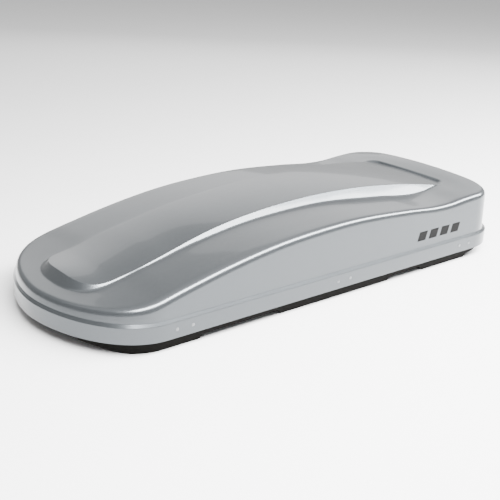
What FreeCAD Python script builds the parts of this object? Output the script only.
import FreeCAD, Part
import math
import os

# Roof cargo box: a low-nosed hard shell that clamps to two crossbars and opens from the right.
# Millimetres. +X is the nose, +Y the left (hinged) side, +Z up, z = 0 is the underside of the feet.
V = FreeCAD.Vector
os.makedirs("parts", exist_ok=True)

# ---------------------------------------------------------------- driving dimensions
LENGTH = 1972.0                 # over the lid band
WIDTH = 790.0                   # over the lid band
NOSE_RUN = 273.0                # length of the rounded nose
REAR_CORNER = 177.0             # plan radius of the two rear corners
NOSE_POWER_X = 2.08             # fullness of the nose curve along X
NOSE_POWER_Y = 1.8              # and along Y
LID_WALL = 3.5                  # thickness of the lid skin
TRAY_WALL = 4.0                 # thickness of the tray skin
BAND_BOTTOM = 45.0              # lower edge of the band that laps the tray
BAND_HEIGHT = 55.0
LEDGE_RISE = 11.0               # sloped step from the band to the side wall
LEDGE_RUN = 8.0
WALL_DRAFT = 6.0                # how far the lid wall leans in over its height
TRAY_INSET = 30.0               # tray wall behind the outer face of the band
FLANGE_REACH = 8.0              # tray flange outside the tray wall
FLANGE_Z = 86.0
CHANNEL_LIFT = 15.0             # crossbar channels stand this far above the feet

# Lid heights along the box: shoulder, crest of the raised centre and half width of that centre.
SHOULDER_Z = ((-986, 270), (-850, 272), (-743, 268), (-650, 259.5), (-543, 260), (-400, 273),
              (-143, 288), (57, 284), (257, 268), (457, 236), (657, 192), (757, 167), (870, 146),
              (986, 132))
CREST_Z = ((-986, 240), (-820, 266), (-743, 276), (-643, 291), (-500, 307), (-343, 318), (-200, 321),
           (-43, 318), (157, 304), (357, 276), (557, 229), (757, 179), (875, 165), (986, 155))
CREST_HALF = ((-986, 245), (-820, 220), (-743, 208), (-643, 195), (-500, 178), (-343, 165),
              (-143, 153), (57, 148), (257, 148), (457, 153), (607, 161), (757, 158), (986, 150))
CROWN = ((-986, 6), (600, 6), (757, 10), (875, 15), (986, 15))
DECK_RISE = ((-986, 31), (-930, 27), (-850, 17), (-780, 9), (-700, 6.5), (-600, 6.5), (986, 6.5))
SHOULDER_RADIUS = 24.0
PLATEAU_REAR = -800.0           # rear edge of the raised centre, at the step to the tail
PLATEAU_CORNER = 60.0
PLATEAU_NOSE = 770.0            # where its front curve starts
PLATEAU_RUN = 105.0             # length of that front curve
PLATEAU_POWER = 2.7             # fullness of that curve
SPINE_INSET = 45.0              # the middle line stops this far inside the crest at both ends
TAIL_SET = 46.0                 # extra width of the ledge at the tail
FOOT_DROP = 1.5                 # nor is its foot ever higher than this under the crest
FOOT_STEP = 6.0                 # the flank is never narrower than this

HALF_LENGTH = LENGTH / 2
HALF_WIDTH = WIDTH / 2
BAND_TOP = BAND_BOTTOM + BAND_HEIGHT
WALL_FOOT = BAND_TOP + LEDGE_RISE
GAP = 0.3                       # between bodies that pass each other
RUN_FIT = 0.05                  # radial play of a turning or sliding fit
SEAT = 0.02                     # play between pieces fixed to each other

# Underside of the tray: deep feet, two crossbar channels and raised ends.
FOOT_FRONT = (572.0, 820.0)
FOOT_MIDDLE = (-316.0, 224.0)
FOOT_REAR = (-780.0, -517.0)
CHANNEL_SLOPE = 14.0
END_LIFT = 24.0                 # underside at the nose and the tail

# Hinges, rivets and lock
HINGE_X = (650.0, -49.5, -735.0)
HINGE_NAMES = ("front", "middle", "rear")
HINGE_INSET = 14.0              # pin axis behind the band's outer face
HINGE_Z = BAND_BOTTOM + 8.0
HINGE_LENGTH = 84.0
PIN_RADIUS = 3.0
KNUCKLE_RADIUS = 5.4
LEAF = 2.0
RIVET_SPACING = 60.0
RIVET_Z = 75.0
RIVET_RADIUS = 2.4
RIVET_HEAD = 6.5
LOCK_Z = 60.0
LOCK_STROKE = 20.0
BARREL_RADIUS = 11.0
HOUSING_HALF = 32.0
NOTCH_CLEARANCE = 1.5
STRIKER_X = (560.0, 120.0, -470.0)
STRIKER_Z = 73.0
STRIKER_PIN = 4.0
BAR_INSET = 21.8                # outer face of the lock bar behind the band's outer face
BAR_THICK = 4.0
BAR_LOW = 63.0
BAR_HIGH = 82.0

# Gas struts: base pivot and lid pivot stand the same distance from the hinge axis.
STRUT_ANGLE = 64.0              # between the two pivots seen from the hinge axis, lid shut
STRUT_X = {"front": 655.0, "rear": -850.0}
STRUT_RADIUS = {"front": 120.0, "rear": 210.0}
CYLINDER_RADIUS = {"front": 7.5, "rear": 9.0}
ROD_RADIUS = 4.0
STUD_RADIUS = 4.0
STRUT_GAP = 0.8                 # from a cylinder's side to its foot's plate
HEAD_OFFSET = 6.0               # plate of the upper bracket beside the rod's eye

# Crossbar clamps
CLAMP_X = {"front": 398.0, "rear": -416.0}
CLAMP_TRAVEL = {"front": 50.0, "rear": 22.0}
CLAMP_Y = 200.0
BOLT_HALF = 36.0                # half the distance between a U-bolt's legs
BOLT_RADIUS = 4.0
BOLT_BEND = 9.0                 # centre-line bend; it ends below the clamp plate
BOLT_TOP = 108.0
KNOB_RADIUS = 21.0
KNOB_HEIGHT = 26.0
PLATE_THICK = 4.0

# Load straps
STRAP_X = {"front": 120.0, "rear": -215.0}
STRAP_WIDTH = 25.0
STRAP_THICK = 1.6
RAIL_Y = 318.0


# ---------------------------------------------------------------- curves and outlines
def curve(knots):
    """Smooth height or width along X through a few stations."""
    def tangent(i):
        a = knots[max(i - 1, 0)]
        b = knots[min(i + 1, len(knots) - 1)]
        return (b[1] - a[1]) / float(b[0] - a[0])

    def value(x):
        x = min(max(x, knots[0][0]), knots[-1][0])
        i = max(k for k in range(len(knots) - 1) if knots[k][0] <= x)
        (x0, z0), (x1, z1) = knots[i], knots[i + 1]
        span = float(x1 - x0)
        t = (x - x0) / span
        rise = z1 - z0
        m0 = tangent(i) * span - rise
        m1 = rise - tangent(i + 1) * span
        return z0 + rise * t + t * (1 - t) * (m0 * (1 - t) + m1 * t)
    return value


shoulder_z = curve(SHOULDER_Z)
crest_z = curve(CREST_Z)
crest_half = curve(CREST_HALF)
crown = curve(CROWN)
deck_rise = curve(DECK_RISE)


def deck_z(x, y):
    return shoulder_z(x) + deck_rise(x) * (1 - (y / HALF_WIDTH) ** 2)


def plateau_z(x, y):
    return crest_z(x) + crown(x) * (1 - (y / crest_half(x)) ** 2)


def nose_points(inset, count=14):
    """Left half of the nose curve, from the straight side to the tip."""
    start = HALF_LENGTH - NOSE_RUN
    out = []
    for k in range(count + 1):
        a = math.pi / 2 * k / count
        x = start + (NOSE_RUN - inset) * math.sin(a) ** (2 / NOSE_POWER_X)
        y = (HALF_WIDTH - inset) * max(math.cos(a), 0.0) ** (2 / NOSE_POWER_Y)
        out.append((x, y))
    out[-1] = (HALF_LENGTH - inset, 0.0)
    return out


def plan_wire(inset, z):
    """Closed plan outline of the box, moved inwards by inset."""
    r = REAR_CORNER - inset
    xr = -HALF_LENGTH + inset
    w = HALF_WIDTH - inset
    xc = -HALF_LENGTH + REAR_CORNER
    yc = HALF_WIDTH - REAR_CORNER
    s = r * math.sqrt(0.5)
    left = nose_points(inset)
    nose = [V(x, y, z) for x, y in left] + [V(x, -y, z) for x, y in left[-2::-1]]
    spline = Part.BSplineCurve()
    spline.interpolate(Points=nose, InitialTangent=V(1, 0, 0), FinalTangent=V(-1, 0, 0))
    x0 = left[0][0]
    edges = [
        Part.makeLine(V(xc, w, z), V(x0, w, z)),
        spline.toShape(),
        Part.makeLine(V(x0, -w, z), V(xc, -w, z)),
        Part.Arc(V(xc, -w, z), V(xc - s, -yc - s, z), V(xr, -yc, z)).toShape(),
        Part.makeLine(V(xr, -yc, z), V(xr, yc, z)),
        Part.Arc(V(xr, yc, z), V(xc - s, yc + s, z), V(xc, w, z)).toShape(),
    ]
    return Part.Wire(edges)


def prism(inset, z0, z1):
    return Part.Face(plan_wire(inset, z0)).extrude(V(0, 0, z1 - z0))


# ---------------------------------------------------------------- small shape helpers
def box(x0, x1, y0, y1, z0, z1):
    return Part.makeBox(x1 - x0, y1 - y0, z1 - z0, V(x0, y0, z0))


def rod(start, end, radius):
    a = V(*start)
    d = V(*end) - a
    return Part.makeCylinder(radius, d.Length, a, d)


def polygon(points):
    return Part.Face(Part.makePolygon([V(*p) for p in points] + [V(*points[0])]))


def rounded_plate(length, width, thick, corner, origin):
    """Plate lying flat, centred on origin in plan, its underside at origin's height."""
    x, y, z = origin
    plate = box(x - length / 2, x + length / 2, y - width / 2, y + width / 2, z, z + thick)
    upright = [e for e in plate.Edges if abs(e.tangentAt(e.FirstParameter).z) > 0.99]
    return plate.makeFillet(corner, upright)


def fuse(shapes):
    shapes = list(shapes)
    return shapes[0].multiFuse(shapes[1:]).removeSplitter() if len(shapes) > 1 else shapes[0]


def mirrored(shape):
    return shape.mirror(V(0, 0, 0), V(0, 1, 0))


def save(node, shape):
    if isinstance(shape, (list, tuple)):
        shape = Part.makeCompound(list(shape))
    shape.exportStep("parts/%s.step" % node)


# ---------------------------------------------------------------- lid
# The lid is a stack of nested rings: band, ledge, wall, shoulder, deck, flank and raised centre.
# Each ring is drawn for the left half, from the tail's middle round the side to the nose's middle.
RING_REAR = 7                   # spans along the tail, round the corner, along the side, round the nose
RING_CORNER = 9
RING_SIDE = 26
RING_NOSE = 16


def ease(t):
    """Even steps from 0 to 1 drawn closer together towards both ends."""
    return t - 0.11 * math.sin(2 * math.pi * t)


def outline_ring(inset):
    """Plan points of the box outline moved inwards by inset."""
    r = REAR_CORNER - inset
    w = HALF_WIDTH - inset
    xc = -HALF_LENGTH + REAR_CORNER
    yc = HALF_WIDTH - REAR_CORNER
    x0 = HALF_LENGTH - NOSE_RUN
    out = [(xc - r, yc * k / RING_REAR) for k in range(RING_REAR)]
    for k in range(RING_CORNER):
        a = math.pi / 2 * k / RING_CORNER
        out.append((xc - r * math.cos(a), yc + r * math.sin(a)))
    out += [(xc + (x0 - xc) * ease(k / RING_SIDE), w) for k in range(RING_SIDE)]
    return out + nose_points(inset, RING_NOSE)


def tail_set(points):
    """Plan points with the tail wall set further in than the side walls."""
    out = []
    for x, y in points:
        share = min(max((REAR_CORNER - HALF_LENGTH - x) / REAR_CORNER, 0.0), 1.0)
        out.append((x + TAIL_SET * share ** 2, y))
    return out


def plateau_ring(grow, rise_of):
    """Plan points of the raised centre's edge, grown by grow plus rise_of(x, y)."""
    r = PLATEAU_CORNER
    c = crest_half(PLATEAU_REAR) + grow
    xr = PLATEAU_REAR - grow
    out = [(xr, (c - r) * k / RING_REAR) for k in range(RING_REAR)]
    for k in range(RING_CORNER):
        a = math.pi / 2 * k / RING_CORNER
        x = xr + r * (1 - math.cos(a))
        out.append((x, crest_half(x) + grow + rise_of(x, crest_half(x)) - r + r * math.sin(a)))
    x0, x1 = xr + r, PLATEAU_NOSE
    for k in range(RING_SIDE):
        x = x0 + (x1 - x0) * ease(k / RING_SIDE)
        y = crest_half(x)
        out.append((x, y + grow + rise_of(x, y)))
    for k in range(RING_NOSE + 1):
        a = math.pi / 2 * k / RING_NOSE
        u = math.sin(a) ** (2 / PLATEAU_POWER)
        v = max(math.cos(a), 0.0) ** (2 / PLATEAU_POWER) if k < RING_NOSE else 0.0
        c = crest_half(x1)
        d = grow + rise_of(x1 + PLATEAU_RUN * u, c * v)
        out.append((x1 + (PLATEAU_RUN + d) * u, (c + d) * v))
    return out


def flank_rise(x, y):
    """How far the flank runs out beyond FOOT_STEP; it dies away towards the tail."""
    return max(plateau_z(x, y) - deck_z(x, y) - FOOT_STEP, 0.0)


def between(ring_a, ring_b, f):
    return [(a[0] + (b[0] - a[0]) * f, a[1] + (b[1] - a[1]) * f) for a, b in zip(ring_a, ring_b)]


def lid_rings(t):
    """All rings from the band's lower edge to the middle, moved inwards by t."""
    flat = [(2 if t == 0 else t, BAND_BOTTOM), (t, BAND_BOTTOM + 4), (t, BAND_TOP - 3 - t * 0.4),
            (1.5 + t, BAND_TOP + 0.5 - t * 0.4)]
    rings = [[V(x, y, z) for x, y in outline_ring(inset)] for inset, z in flat]
    rings.append([V(x, y, WALL_FOOT - t * 0.4) for x, y in tail_set(outline_ring(LEDGE_RUN + t))])
    start = LEDGE_RUN + WALL_DRAFT + t
    for k in range(5):
        a = math.pi / 2 * k / 4
        ring = tail_set(outline_ring(start + (SHOULDER_RADIUS - t * 0.5) * (1 - math.cos(a))))
        points = []
        for x, y in ring:
            top = deck_z(x, y) - t
            r = min(SHOULDER_RADIUS, (top - WALL_FOOT) * 0.7)
            points.append(V(x, y, top - r * (1 - math.sin(a))))
        rings.append(points)
    inner_edge = tail_set(outline_ring(start + SHOULDER_RADIUS - t * 0.5))
    foot = plateau_ring(FOOT_STEP - t * 0.4, flank_rise)
    crest = plateau_ring(-t * 0.4, lambda x, y: 0.0)
    for f in (0.33, 0.67):
        rings.append([V(x, y, deck_z(x, y) - t) for x, y in between(inner_edge, foot, f)])
    rings.append([V(x, y, min(deck_z(x, y), plateau_z(*edge) - FOOT_DROP) - t)
                  for (x, y), edge in zip(foot, crest)])
    x0 = crest[0][0] + SPINE_INSET
    x1 = crest[-1][0] - SPINE_INSET
    spine = [(x0 + (x1 - x0) * step / RING_STEPS[-1], 0.0) for step in RING_STEPS]
    for f in (0.0, 0.3, 0.65, 1.0):
        rings.append([V(x, y, plateau_z(x, y) - t) for x, y in between(crest, spine, f)])
    return rings


def ring_steps():
    """Curve parameters shared by every ring: the mean spacing of the outline and the crest."""
    rings = (outline_ring(0.0), plateau_ring(0.0, lambda x, y: 0.0))
    steps = [0.0]
    for k in range(1, len(rings[0])):
        steps.append(steps[-1] + sum(math.dist(ring[k - 1], ring[k]) for ring in rings))
    return steps


def ring_edge(points):
    spline = Part.BSplineCurve()
    spline.interpolate(Points=points, Parameters=RING_STEPS)
    return spline.toShape()


def half_faces(rings):
    edges = [ring_edge(points) for points in rings]
    return [Part.makeRuledSurface(a, b) for a, b in zip(edges, edges[1:])]


RING_STEPS = ring_steps()


def lid_shell_solid():
    outer = lid_rings(0.0)
    inner = lid_rings(LID_WALL)
    faces = half_faces(outer) + half_faces(inner)
    faces.append(Part.makeRuledSurface(ring_edge(outer[0]), ring_edge(inner[0])))
    flip = [mirrored(face) for face in faces]
    shell = Part.makeShell(faces + flip)
    shell.sewShape()
    solid = Part.makeSolid(shell)
    if solid.Volume < 0:
        solid.reverse()
    return solid


def rivet_sites():
    """Outer ends of the rivets in the lid band: hinges on the left, strikers on the right."""
    sites = []
    for x in HINGE_X:
        sites += [(x + s * RIVET_SPACING / 2, HALF_WIDTH, 1) for s in (-1, 1)]
    for x in STRIKER_X:
        sites += [(x + s * RIVET_SPACING / 2, -HALF_WIDTH, -1) for s in (-1, 1)]
    return sites


def lid_shell():
    shell = lid_shell_solid()
    n = HOUSING_HALF + NOTCH_CLEARANCE
    notch = box(-n, n, -HALF_WIDTH - 5, -HALF_WIDTH + 10, BAND_BOTTOM - 5,
                LOCK_Z + 18 + NOTCH_CLEARANCE)
    holes = [rod((x, y - side * 20, RIVET_Z), (x, y + side * 5, RIVET_Z), RIVET_RADIUS + SEAT)
             for x, y, side in rivet_sites()]
    return shell.cut(notch).cut(Part.makeCompound(holes))


def lid_rivets():
    """Blind rivets: a low dome outside the band, a shank and a formed tail inside."""
    depth = LID_WALL + LEAF + 2 * SEAT
    out = []
    for x, y, side in rivet_sites():
        dome = Part.makeSphere(9.0, V(x, y - side * 6.9, RIVET_Z))
        cap = rod((x, y + side * SEAT, RIVET_Z), (x, y + side * 3, RIVET_Z), RIVET_HEAD)
        shank = rod((x, y + side * SEAT, RIVET_Z), (x, y - side * depth, RIVET_Z), RIVET_RADIUS)
        tail = rod((x, y - side * depth, RIVET_Z), (x, y - side * (depth + 2), RIVET_Z), 3.6)
        out.append(dome.common(cap).fuse(shank).fuse(tail))
    return out


def stiffener(x0, width):
    """Shallow pressed bow that follows the inside of the lid from side to side."""
    low = min(shoulder_z(x0), shoulder_z(x0 + width)) - LID_WALL - 1.0
    half = HALF_WIDTH - LEDGE_RUN - WALL_DRAFT - LID_WALL - SHOULDER_RADIUS
    rise = min(deck_rise(x0), deck_rise(x0 + width))
    top = [V(x0, half * k / 6.0, low + rise * (1 - (half * k / 6.0 / HALF_WIDTH) ** 2))
           for k in range(-6, 7)]
    depth = 14.0
    under = [p - V(0, 0, depth) for p in top]
    face = Part.Face(Part.makePolygon(top + under[::-1] + top[:1]))
    bow = face.extrude(V(width, 0, 0))
    groove_face = Part.Face(Part.makePolygon([p - V(0, 0, 2.0) for p in top]
                                             + [p - V(0, 0, 1.0) for p in under[::-1]]
                                             + [top[0] - V(0, 0, 2.0)]))
    groove = groove_face.extrude(V(width - 8, 0, 0))
    groove.translate(V(4, 0, 0))
    return bow.cut(groove)


# ---------------------------------------------------------------- tray
def underside(lift):
    """Side view of the tray's underside, raised by lift, closed well above the box."""
    c = CHANNEL_LIFT
    s = CHANNEL_SLOPE
    pts = [
        (-HALF_LENGTH - 10, END_LIFT + 10), (-HALF_LENGTH + 40, END_LIFT), (FOOT_REAR[0] - 30, c),
        (FOOT_REAR[0] - s, c), (FOOT_REAR[0], 0), (FOOT_REAR[1], 0), (FOOT_REAR[1] + s, c),
        (FOOT_MIDDLE[0] - s, c), (FOOT_MIDDLE[0], 0), (FOOT_MIDDLE[1], 0), (FOOT_MIDDLE[1] + s, c),
        (FOOT_FRONT[0] - s, c), (FOOT_FRONT[0], 0), (FOOT_FRONT[1], 0),
        (HALF_LENGTH - 60, END_LIFT), (HALF_LENGTH + 10, END_LIFT + 14),
    ]
    reach = HALF_WIDTH + 20
    ring_points = [(x, -reach, z + lift) for x, z in pts]
    ring_points += [(HALF_LENGTH + 10, -reach, 200), (-HALF_LENGTH - 10, -reach, 200)]
    return polygon(ring_points).extrude(V(0, 2 * reach, 0))


def floor_z(x):
    """Height of the tray floor's upper face in the feet and the channels."""
    in_foot = any(a <= x <= b for a, b in (FOOT_FRONT, FOOT_MIDDLE, FOOT_REAR))
    return TRAY_WALL + (0 if in_foot else CHANNEL_LIFT)


def clamp_sites():
    return [(end, side, CLAMP_X[end], s * CLAMP_Y) for end in ("front", "rear")
            for side, s in (("left", 1), ("right", -1))]


def slot_half(end):
    return BOLT_HALF + BOLT_RADIUS + CLAMP_TRAVEL[end] + 1.0


def base_tray():
    outer = prism(TRAY_INSET, 0, FLANGE_Z + TRAY_WALL).common(underside(0))
    flange = prism(TRAY_INSET - FLANGE_REACH, FLANGE_Z, FLANGE_Z + TRAY_WALL)
    inner = prism(TRAY_INSET + TRAY_WALL, -1, FLANGE_Z + TRAY_WALL + 1).common(underside(TRAY_WALL))
    tray = outer.fuse(flange).cut(inner)
    cuts = []
    for end, _, x, y in clamp_sites():
        h = slot_half(end)
        z = floor_z(x) - TRAY_WALL
        cuts.append(box(x - h, x + h, y - BOLT_RADIUS - 0.6, y + BOLT_RADIUS + 0.6, z - 1,
                        z + TRAY_WALL + 1))
    return tray.cut(Part.makeCompound(cuts))


def rim_seal():
    """Soft sealing cord on the tray flange."""
    z = FLANGE_Z + TRAY_WALL + SEAT
    a = TRAY_INSET - 5
    b = TRAY_INSET + 2
    return prism(a, z, z + 7).cut(prism(b, z - 1, z + 8))


def floor_rail(sign):
    """Lashing rail riveted along the middle of the floor, with a row of slots."""
    x0 = FOOT_MIDDLE[0] + 30
    x1 = FOOT_MIDDLE[1] - 30
    z = TRAY_WALL + SEAT
    y = sign * RAIL_Y
    rail = box(x0, x1, y - 11, y + 11, z, z + 9).cut(box(x0 - 1, x1 + 1, y - 8.5, y + 8.5, z - 1, z + 6.5))
    slots = [box(x - 15, x + 15, y - 3, y + 3, z + 5, z + 10)
             for x in [x0 + 45 + 60 * k for k in range(int((x1 - x0 - 60) // 60) + 1)]]
    return rail.cut(Part.makeCompound(slots))


# ---------------------------------------------------------------- hinges
HINGE_Y = HALF_WIDTH - HINGE_INSET
KNUCKLE_SPLIT = 14.0


def hinge_leaf_lid(x):
    """Leaf behind the band, riveted through it, with a knuckle at each end."""
    half = HINGE_LENGTH / 2
    y1 = HALF_WIDTH - LID_WALL - SEAT
    plate = box(x - half, x + half, y1 - LEAF, y1, HINGE_Z - 3, RIVET_Z + 8)
    shapes = [plate]
    for a, b in ((-half, -KNUCKLE_SPLIT), (KNUCKLE_SPLIT, half)):
        shapes.append(rod((x + a, HINGE_Y, HINGE_Z), (x + b, HINGE_Y, HINGE_Z), KNUCKLE_RADIUS))
        shapes.append(box(x + a, x + b, HINGE_Y, y1 - LEAF + 0.5, HINGE_Z - 3, HINGE_Z - 1))
    gap = box(x - KNUCKLE_SPLIT, x + KNUCKLE_SPLIT, HINGE_Y - 8, y1 + 1, HINGE_Z - 9, HINGE_Z + 7)
    bore = rod((x - half - 1, HINGE_Y, HINGE_Z), (x + half + 1, HINGE_Y, HINGE_Z),
               PIN_RADIUS + RUN_FIT)
    leaf = fuse(shapes).cut(gap).cut(bore)
    holes = [rod((x + s * RIVET_SPACING / 2, y1 - 5, RIVET_Z), (x + s * RIVET_SPACING / 2, y1 + 2, RIVET_Z),
                 RIVET_RADIUS + SEAT) for s in (-1, 1)]
    return leaf.cut(Part.makeCompound(holes))


def base_rivet_sites(x):
    return [(x + s * 26.0, z) for s in (-1, 1) for z in (HINGE_Z + 14,)]


def hinge_leaf_base(x):
    """Leaf on the outside of the tray wall, with one knuckle between the lid leaf's two."""
    wall = HALF_WIDTH - TRAY_INSET
    y0 = wall + SEAT
    plate = box(x - 36, x + 36, y0, y0 + LEAF, HINGE_Z - 4, HINGE_Z + 22)
    a = KNUCKLE_SPLIT - GAP
    knuckle = rod((x - a, HINGE_Y, HINGE_Z), (x + a, HINGE_Y, HINGE_Z), KNUCKLE_RADIUS)
    arm = box(x - a, x + a, y0, HINGE_Y, HINGE_Z - 4, HINGE_Z - 1)
    bore = rod((x - a - 1, HINGE_Y, HINGE_Z), (x + a + 1, HINGE_Y, HINGE_Z), PIN_RADIUS + SEAT)
    leaf = fuse([plate, knuckle, arm]).cut(bore)
    holes = [rod((px, y0 - 2, pz), (px, y0 + 5, pz), RIVET_RADIUS + SEAT)
             for px, pz in base_rivet_sites(x)]
    return leaf.cut(Part.makeCompound(holes))


def hinge_pins():
    half = HINGE_LENGTH / 2
    return [rod((x - half, HINGE_Y, HINGE_Z), (x + half, HINGE_Y, HINGE_Z), PIN_RADIUS)
            for x in HINGE_X]


def base_rivets():
    """Rivets that hold the base leaves; their heads lie on the leaves."""
    wall = HALF_WIDTH - TRAY_INSET
    out = []
    for x in HINGE_X:
        for px, pz in base_rivet_sites(x):
            top = wall + LEAF + 2 * SEAT
            head = Part.makeCone(4.6, 3.2, 1.6, V(px, top, pz), V(0, 1, 0))
            shank = rod((px, top, pz), (px, top - LEAF - SEAT, pz), RIVET_RADIUS)
            out.append(head.fuse(shank))
    return out


# ---------------------------------------------------------------- lock
def lock_housing():
    """Housing in a notch of the band, screwed to the tray wall by two feet."""
    y_out = -HALF_WIDTH - 1.0
    y_in = -HALF_WIDTH + 18.0
    y_wall = -HALF_WIDTH + TRAY_INSET - SEAT
    h = HOUSING_HALF
    body = box(-h, h, y_out, y_in, LOCK_Z - 16, LOCK_Z + 18)
    lip = [e for e in body.Edges if abs(e.BoundBox.YMin - y_out) < 0.01 and e.BoundBox.YLength < 0.01]
    body = body.makeFillet(2.0, lip)
    feet = [box(a, b, y_in - 1, y_wall, LOCK_Z - 14, BAR_LOW - 1.5) for a, b in ((-h, -22), (22, h))]
    seat = rod((0, y_out - 1, LOCK_Z), (0, y_in + 1, LOCK_Z), BARREL_RADIUS + RUN_FIT)
    return fuse([body] + feet).cut(seat)


KEY_SLOT = (1.3, 4.2)           # half thickness and half width of the keyway


def lock_barrel():
    y_out = -HALF_WIDTH - 2.0
    y_in = -HALF_WIDTH + 18.0 + GAP
    barrel = rod((0, y_out, LOCK_Z), (0, y_in, LOCK_Z), BARREL_RADIUS)
    t, w = KEY_SLOT
    slot = box(-t - 0.2, t + 0.2, y_out - 1, y_out + 17, LOCK_Z - w - 0.2, LOCK_Z + w + 0.2)
    return barrel.cut(slot)


def lock_cam():
    """Disc on the barrel's inner end; its pin drives the bar through an upright slot."""
    y0 = -HALF_WIDTH + 18.0 + GAP + SEAT
    half = LOCK_STROKE / 2
    disc = rod((0, y0, LOCK_Z), (0, y0 + 2.6, LOCK_Z), 18.0)
    pin = rod((-half, y0 + 2, LOCK_Z + half), (-half, y0 + 7.2, LOCK_Z + half), 2.5)
    return disc.fuse(pin)


def key():
    y_out = -HALF_WIDTH - 2.0
    t, w = KEY_SLOT
    blade = box(-t, t, y_out - 4, y_out + 15, LOCK_Z - w, LOCK_Z + w)
    bow = rod((-2.2, y_out - 15, LOCK_Z), (2.2, y_out - 15, LOCK_Z), 12.0)
    hole = rod((-3, y_out - 19, LOCK_Z), (3, y_out - 19, LOCK_Z), 3.5)
    return blade.fuse(bow).cut(hole)


def bar_y(inset):
    return -HALF_WIDTH + inset


def lock_bar():
    y0, y1 = bar_y(BAR_INSET), bar_y(BAR_INSET + BAR_THICK)
    bar = box(STRIKER_X[2] - 60, STRIKER_X[0] + 10, y0, y1, BAR_LOW, BAR_HIGH)
    half = LOCK_STROKE / 2
    slot = box(-half - 3.3, -half + 3.3, y0 - 1, y1 + 1, LOCK_Z + half - 3.2, LOCK_Z + half * 1.42 + 3.2)
    return bar.cut(slot)


def lock_hooks():
    """Three hook plates on the bar, open towards the nose."""
    y0 = bar_y(BAR_INSET - 5.0)
    y1 = bar_y(BAR_INSET - SEAT)
    out = []
    for x in STRIKER_X:
        plate = box(x - 44, x - 7, y0, y1, BAR_LOW, BAR_HIGH + 2)
        r = STRIKER_PIN + 0.6
        mouth = box(x - 27, x, y0 - 1, y1 + 1, STRIKER_Z - r, STRIKER_Z + r)
        end = rod((x - 27, y0 - 1, STRIKER_Z), (x - 27, y1 + 1, STRIKER_Z), r)
        out.append(plate.cut(mouth).cut(end))
    return out


def bar_guides():
    """Brackets on the tray wall that carry the bar above and below."""
    wall = bar_y(TRAY_INSET) - SEAT
    out = []
    for x in (STRIKER_X[0] - 90, 205.0, -95.0, STRIKER_X[2] + 70):
        y0, y1 = bar_y(BAR_INSET - 3.0), wall
        block = box(x - 11, x + 11, y0, y1, BAR_LOW - 3, BAR_HIGH + 3)
        way = box(x - 12, x + 12, bar_y(BAR_INSET - GAP), bar_y(BAR_INSET + BAR_THICK + GAP),
                  BAR_LOW - GAP, BAR_HIGH + GAP)
        out.append(block.cut(way))
    return out


def striker(x):
    """Plate riveted behind the band with a headed pin for the hook."""
    y0 = bar_y(LID_WALL + SEAT)
    y1 = y0 + LEAF
    plate = box(x - 38, x + 38, y0, y1, STRIKER_Z - 11, STRIKER_Z + 11)
    pin = rod((x, y1 - 0.5, STRIKER_Z), (x, bar_y(BAR_INSET - 2.0), STRIKER_Z), STRIKER_PIN)
    collar = rod((x, y1 - 0.5, STRIKER_Z), (x, y1 + 3, STRIKER_Z), STRIKER_PIN + 3)
    holes = [rod((x + s * RIVET_SPACING / 2, y0 - 2, RIVET_Z), (x + s * RIVET_SPACING / 2, y1 + 2, RIVET_Z),
                 RIVET_RADIUS + SEAT) for s in (-1, 1)]
    return fuse([plate, pin, collar]).cut(Part.makeCompound(holes))


# ---------------------------------------------------------------- gas struts
def strut_pivots(end):
    """Base pivot, lid pivot and their distance with the lid shut."""
    r = STRUT_RADIUS[end]
    a = math.radians(STRUT_ANGLE)
    x = STRUT_X[end]
    base = V(x, HINGE_Y - r, HINGE_Z)
    lid = V(x, HINGE_Y - r * math.cos(a), HINGE_Z + r * math.sin(a))
    return base, lid, (lid - base).Length


def strut_cylinder(end):
    base, lid, span = strut_pivots(end)
    d = (lid - base) * (1 / span)
    r = CYLINDER_RADIUS[end]
    tube = Part.makeCylinder(r, span - 16 - 6, base + d * 6, d)
    bore = Part.makeCylinder(ROD_RADIUS + RUN_FIT, span, base + d * 16, d)
    eye = Part.makeCylinder(7.5, 8, base - V(4, 0, 0), V(1, 0, 0))
    hole = Part.makeCylinder(STUD_RADIUS + RUN_FIT, 20, base - V(10, 0, 0), V(1, 0, 0))
    return tube.fuse(eye).cut(bore).cut(hole)


def strut_rod(end):
    base, lid, span = strut_pivots(end)
    d = (base - lid) * (1 / span)
    shaft = Part.makeCylinder(ROD_RADIUS, span - 8 - 17, lid + d * 8, d)
    eye = Part.makeCylinder(7.0, 8, lid - V(4, 0, 0), V(1, 0, 0))
    neck = Part.makeCylinder(5.5, 8, lid + d * 4, d)
    hole = Part.makeCylinder(STUD_RADIUS + RUN_FIT, 20, lid - V(10, 0, 0), V(1, 0, 0))
    return fuse([shaft, eye, neck]).cut(hole)


def stud(centre, side, offset):
    """Stud along X from a bracket plate at x + side*offset through the strut's eye."""
    x, y, z = centre
    return rod((x + side * (offset + 1), y, z), (x - side * 5.5, y, z), STUD_RADIUS)


def strut_foot(end):
    base, _, _ = strut_pivots(end)
    side = 1 if end == "front" else -1
    foot = strut_floor(end) + SEAT
    offset = CYLINDER_RADIUS[end] + STRUT_GAP
    x0 = base.x + side * offset
    x1 = x0 + side * 3
    plate = box(min(x0, x1), max(x0, x1), base.y - 12, base.y + 12, foot, base.z + 10)
    flat = box(min(x0, base.x + side * 32), max(x0, base.x + side * 32), base.y - 16, base.y + 16,
               foot, foot + 3)
    return fuse([plate, flat, stud(base, side, offset)])


def strut_floor(end):
    """Floor height under the strut foot; the rear foot stands on the raised tail."""
    if end == "front":
        return TRAY_WALL
    x_back = -HALF_LENGTH + 40
    x_fore = FOOT_REAR[0] - 30
    t = (x_fore - (STRUT_X[end] - 32)) / (x_fore - x_back)
    return CHANNEL_LIFT + (END_LIFT - CHANNEL_LIFT) * t + TRAY_WALL


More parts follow.
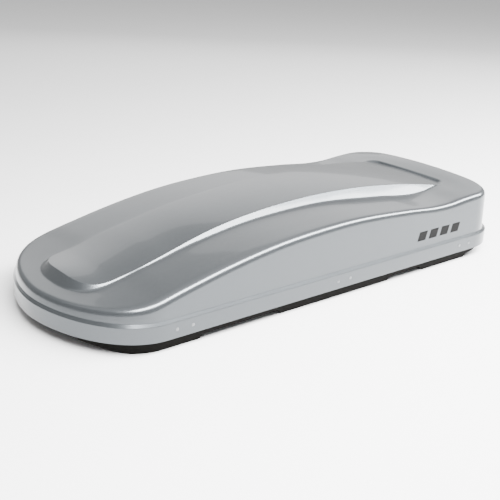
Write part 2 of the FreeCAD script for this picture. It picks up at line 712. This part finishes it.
def strut_head(end):
    _, lid, _ = strut_pivots(end)
    side = 1 if end == "front" else -1
    x0 = lid.x + side * HEAD_OFFSET
    x1 = x0 + side * 3
    reach = lid.x + side * 30
    roof = min(deck_z(x, y) for x in (lid.x, reach) for y in (lid.y - 16, lid.y + 16)) - LID_WALL - 0.5
    plate = box(min(x0, x1), max(x0, x1), lid.y - 10, lid.y + 10, lid.z - 10, roof)
    flat = box(min(x0, reach), max(x0, reach), lid.y - 16, lid.y + 16, roof - 3, roof)
    return fuse([plate, flat, stud(lid, side, HEAD_OFFSET)])


# ---------------------------------------------------------------- crossbar clamps
def clamp_floor(end):
    return floor_z(CLAMP_X[end])


def clamp_plate(end, x, y):
    z = clamp_floor(end) + GAP
    plate = rounded_plate(2 * BOLT_HALF + 34, 40, PLATE_THICK, 8, (x, y, z))
    holes = [rod((x + s * BOLT_HALF, y, z - 1), (x + s * BOLT_HALF, y, z + 9), BOLT_RADIUS + RUN_FIT)
             for s in (-1, 1)]
    return plate.cut(Part.makeCompound(holes))


def u_bolt(x, y):
    """Square U of round bar; its bend hangs just below the channel floor."""
    bend = BOLT_BEND
    low = CHANNEL_LIFT - 2.0 - BOLT_RADIUS
    h = BOLT_HALF
    s = bend * math.sqrt(0.5)
    path = Part.Wire([
        Part.makeLine(V(x - h, y, BOLT_TOP), V(x - h, y, low + bend)),
        Part.Arc(V(x - h, y, low + bend), V(x - h + bend - s, y, low + bend - s),
                 V(x - h + bend, y, low)).toShape(),
        Part.makeLine(V(x - h + bend, y, low), V(x + h - bend, y, low)),
        Part.Arc(V(x + h - bend, y, low), V(x + h - bend + s, y, low + bend - s),
                 V(x + h, y, low + bend)).toShape(),
        Part.makeLine(V(x + h, y, low + bend), V(x + h, y, BOLT_TOP)),
    ])
    section = Part.Wire(Part.makeCircle(BOLT_RADIUS, V(x - h, y, BOLT_TOP), V(0, 0, 1)))
    return path.makePipeShell([section], True, True)


def knob(end, x, y):
    """Five-lobed hand nut with a through thread."""
    z = clamp_floor(end) + GAP + PLATE_THICK + GAP
    core = rod((x, y, z), (x, y, z + KNOB_HEIGHT), KNOB_RADIUS - 5)
    lobes = []
    for k in range(5):
        a = 2 * math.pi * k / 5
        lx = x + (KNOB_RADIUS - 7) * math.cos(a)
        ly = y + (KNOB_RADIUS - 7) * math.sin(a)
        lobes.append(rod((lx, ly, z + 8), (lx, ly, z + KNOB_HEIGHT), 7))
    body = fuse([core] + lobes)
    return body.cut(rod((x, y, z - 1), (x, y, z + KNOB_HEIGHT + 1), BOLT_RADIUS + RUN_FIT))


# ---------------------------------------------------------------- load straps
BUCKLE_Y = 60.0


def strap_anchors():
    """Loops clipped into the rails, one at each strap end."""
    z = TRAY_WALL + 9 + 2 * SEAT
    out = []
    for x in STRAP_X.values():
        for s in (-1, 1):
            y = s * RAIL_Y
            base = box(x - 17, x + 17, y - 10, y + 10, z, z + 3)
            posts = [box(x + a, x + a + 4, y - 3, y + 3, z, z + 12) for a in (-17, 13)]
            bar = rod((x - 15, y, z + 10), (x + 15, y, z + 10), 2.5)
            out.append(fuse([base, bar] + posts))
    return out


def strap(end):
    """Webbing laid across the floor from anchor to anchor."""
    x = STRAP_X[end]
    w = STRAP_WIDTH / 2
    floor = TRAY_WALL + 1.0
    high = TRAY_WALL + 9 + 10 + 2 * SEAT + 2.5 + 0.3
    y_end = RAIL_Y + 4
    y_up = RAIL_Y - 8
    y_floor = RAIL_Y - 60
    t = STRAP_THICK
    upper = [(-y_end, high + t), (-y_up, high + t), (-y_floor, floor + t), (y_floor, floor + t),
             (y_up, high + t), (y_end, high + t)]
    lower = [(y_end, high), (y_up - 0.4, high), (y_floor - 0.4, floor), (-y_floor + 0.4, floor),
             (-y_up + 0.4, high), (-y_end, high)]
    return polygon([(x - w, y, z) for y, z in upper + lower]).extrude(V(2 * w, 0, 0))


def buckle(end):
    """Cam buckle body: a base plate and two cheeks."""
    x = STRAP_X[end]
    z = TRAY_WALL + 1.0 + STRAP_THICK + 0.2
    plate = box(x - 17, x + 17, BUCKLE_Y - 24, BUCKLE_Y + 24, z, z + 2)
    cheeks = [box(x + a, x + a + 2.5, BUCKLE_Y - 22, BUCKLE_Y + 6, z, z + 16) for a in (-17, 14.5)]
    hole = rod((x - 20, BUCKLE_Y - 12, z + 10), (x + 20, BUCKLE_Y - 12, z + 10), 2.5 + RUN_FIT)
    return fuse([plate] + cheeks).cut(hole)


def buckle_lever(end):
    """Thumb lever on a cross pin between the cheeks."""
    x = STRAP_X[end]
    z = TRAY_WALL + 1.0 + STRAP_THICK + 0.2
    y = BUCKLE_Y - 12
    pin = rod((x - 17.5, y, z + 10), (x + 17.5, y, z + 10), 2.5)
    hub = rod((x - 14, y, z + 10), (x + 14, y, z + 10), 5.0)
    blade = box(x - 13.5, x + 13.5, y, y + 34, z + 11, z + 14.5)
    return fuse([pin, hub, blade])


# ---------------------------------------------------------------- write every piece
save("base_tray", base_tray())
save("rim_seal", rim_seal())
save("floor_rail_left", floor_rail(1))
save("floor_rail_right", floor_rail(-1))
for name, x in zip(HINGE_NAMES, HINGE_X):
    save("hinge_leaf_base_" + name, hinge_leaf_base(x))
    save("hinge_leaf_lid_" + name, hinge_leaf_lid(x))
save("hinge_pins", hinge_pins())
save("base_rivets", base_rivets())
save("lock_housing", lock_housing())
save("lock_barrel", lock_barrel())
save("lock_cam", lock_cam())
save("key", key())
save("lock_bar", lock_bar())
save("lock_hooks", lock_hooks())
save("bar_guides", bar_guides())
for name, x in zip(HINGE_NAMES, STRIKER_X):
    save("striker_" + name, striker(x))
for end in ("front", "rear"):
    save("strut_cylinder_" + end, strut_cylinder(end))
    save("strut_rod_" + end, strut_rod(end))
    save("strut_foot_" + end, strut_foot(end))
    save("strut_head_" + end, strut_head(end))
    save("strap_" + end, strap(end))
    save("buckle_" + end, buckle(end))
    save("buckle_lever_" + end, buckle_lever(end))
save("strap_anchors", strap_anchors())
for end, side, x, y in clamp_sites():
    tag = end + "_" + side
    save("clamp_plate_" + tag, clamp_plate(end, x, y))
    save("u_bolt_" + tag, u_bolt(x, y))
    save("knob_a_" + tag, knob(end, x - BOLT_HALF, y))
    save("knob_b_" + tag, knob(end, x + BOLT_HALF, y))
save("lid_stiffener_front", stiffener(430.0, 34.0))
save("lid_stiffener_rear", stiffener(-480.0, 34.0))
save("lid_rivets", lid_rivets())
save("lid_shell", lid_shell())
